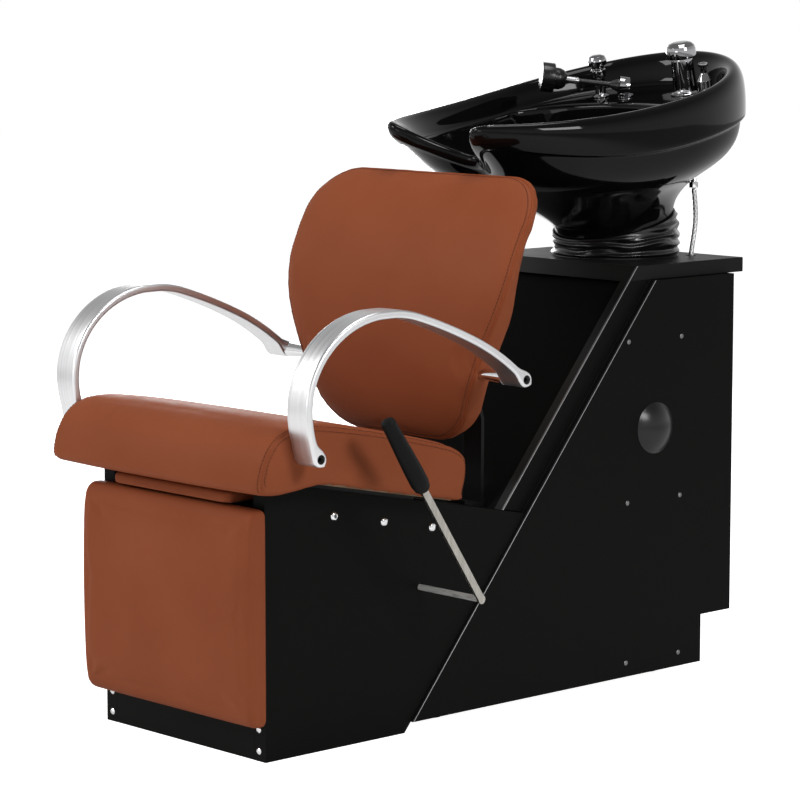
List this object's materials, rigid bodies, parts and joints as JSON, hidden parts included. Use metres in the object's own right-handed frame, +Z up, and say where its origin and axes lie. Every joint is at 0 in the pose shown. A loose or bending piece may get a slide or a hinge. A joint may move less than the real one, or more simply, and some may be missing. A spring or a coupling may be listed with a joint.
{
  "type": "shampoo backwash unit",
  "caption": "Salon shampoo unit: padded armchair with a kick-out leg rest, joined to a plumbing cabinet that carries a tilting wash bowl with mixer and hand spray.",
  "frame": {"origin": "On the floor, at the centre of the four floor anchor holes under the chair base.", "axes": "+Z up, -Y the way the sitter faces, +X the side of the lever."},
  "size_m": [0.608, 1.1642, 0.995],
  "materials": {
    "black_laminate": "satin laminate, black",
    "raw_board": "raw plywood",
    "chrome": "polished",
    "dark_steel": "satin black",
    "leather": "smooth upholstery vinyl, brown",
    "satin_aluminium": "brushed",
    "satin_nickel": "satin",
    "black_rubber": "matte",
    "black_plastic": "fine matte",
    "gloss_black": "high gloss",
    "pipe_grey": "plain",
    "braid": "woven",
    "brass": "machined"
  },
  "bodies": {
    "unit": {"base_side_left": "black_laminate", "base_side_right": "black_laminate", "kick_panel": "black_laminate", "base_floor": "raw_board", "rear_deck": "black_laminate", "side_bolts": "chrome", "kick_screws": "chrome", "linkage_plates": "dark_steel", "front_rail": "dark_steel", "flap_guides": "dark_steel", "seat_bearers": "dark_steel", "seat_frame": "raw_board", "seat_cushion": "leather", "back_board": "raw_board", "back_cushion": "leather", "back_brackets": "dark_steel", "arm_left": "satin_aluminium", "arm_right": "satin_aluminium", "arm_bolts": "dark_steel", "arm_pins": "chrome", "cabinet_sides": "black_laminate", "cheek_left": "black_laminate", "cheek_right": "black_laminate", "edge_trims": "satin_aluminium", "slant_panel": "black_laminate", "top_slab": "black_laminate", "cabinet_floor": "raw_board", "levelling_feet": "black_rubber", "side_domes": "black_plastic", "screw_caps": "black_plastic", "rear_rail": "raw_board", "tilt_bracket": "dark_steel", "bowl_boot": "black_rubber", "drain_hose": "black_plastic", "drain_pipe": "pipe_grey", "supply_hose_left": "braid", "supply_hose_right": "braid", "water_inlets": "brass"},
    "kick_arms": {"kick_links": "dark_steel", "kick_tube": "dark_steel"},
    "carriers": {"carrier_links": "dark_steel"},
    "leg_rest": {"rest_brackets": "dark_steel", "rest_board": "raw_board", "rest_pad": "leather"},
    "flap": {"flap_board": "dark_steel", "flap_pad": "leather"},
    "lever": {"lever_shaft": "satin_nickel", "lever_bar": "satin_nickel", "lever_grip": "black_rubber"},
    "drive_rod": {"drive_link": "dark_steel"},
    "bowl": {"wash_bowl": "gloss_black", "tilt_plate": "dark_steel", "drain_strainer": "chrome", "hose_nuts": "chrome", "mixer_body": "chrome", "vacuum_breaker": "chrome", "spray_holder": "chrome"},
    "mixer_knob": {"mixer_cap": "chrome"},
    "hand_spray": {"spray_tube": "black_plastic", "spray_head": "black_plastic"}
  },
  "joints": [
    {"name": "leg_rest_kick", "type": "hinge", "parent": "unit", "child": "kick_arms", "pos_m": [0, -0.075, 0.335], "axis": [-1, 0, 0], "range_deg": [0, 75]},
    {"name": "carrier_swing", "type": "hinge", "parent": "kick_arms", "child": "carriers", "pos_m": [0, -0.075, 0.165], "axis": [-1, 0, 0], "range_deg": [-145, 0]},
    {"name": "leg_rest_turn", "type": "hinge", "parent": "carriers", "child": "leg_rest", "pos_m": [0, -0.118, 0.29], "axis": [-1, 0, 0], "range_deg": [0, 145]},
    {"name": "flap_slide", "type": "slide", "parent": "unit", "child": "flap", "axis": [0, -1, 0], "range_m": [0, 0.08]},
    {"name": "lever_pull", "type": "hinge", "parent": "unit", "child": "lever", "pos_m": [0, 0.157, 0.213], "axis": [-1, 0, 0], "range_deg": [0, 75]},
    {"name": "drive_turn", "type": "hinge", "parent": "lever", "child": "drive_rod", "pos_m": [0, 0.157, 0.143], "axis": [-1, 0, 0], "range_deg": [-75, 0]},
    {"name": "bowl_tilt", "type": "hinge", "parent": "unit", "child": "bowl", "pos_m": [0, 0.755, 0.69], "axis": [-1, 0, 0], "range_deg": [0, 14], "deforming": ["bowl_boot", "drain_hose", "supply_hose_left", "supply_hose_right"]},
    {"name": "mixer_turn", "type": "hinge", "parent": "bowl", "child": "mixer_knob", "pos_m": [0.05, 0.85384, 0.96766], "axis": [0, -0.1908, 0.9816], "range_deg": [-60, 60]},
    {"name": "spray_pull", "type": "slide", "parent": "bowl", "child": "hand_spray", "axis": [-0.6209, -0.7757, 0.1129], "range_m": [0, 0.05]}
  ],
  "couplings": [
    {"joint": "carrier_swing", "follows": "leg_rest_kick", "ratio": -1.9333},
    {"joint": "leg_rest_turn", "follows": "leg_rest_kick", "ratio": 1.9333},
    {"joint": "flap_slide", "follows": "leg_rest_kick", "m_per_rad": 0.0611},
    {"joint": "lever_pull", "follows": "leg_rest_kick", "ratio": 1},
    {"joint": "drive_turn", "follows": "leg_rest_kick", "ratio": -1}
  ]
}
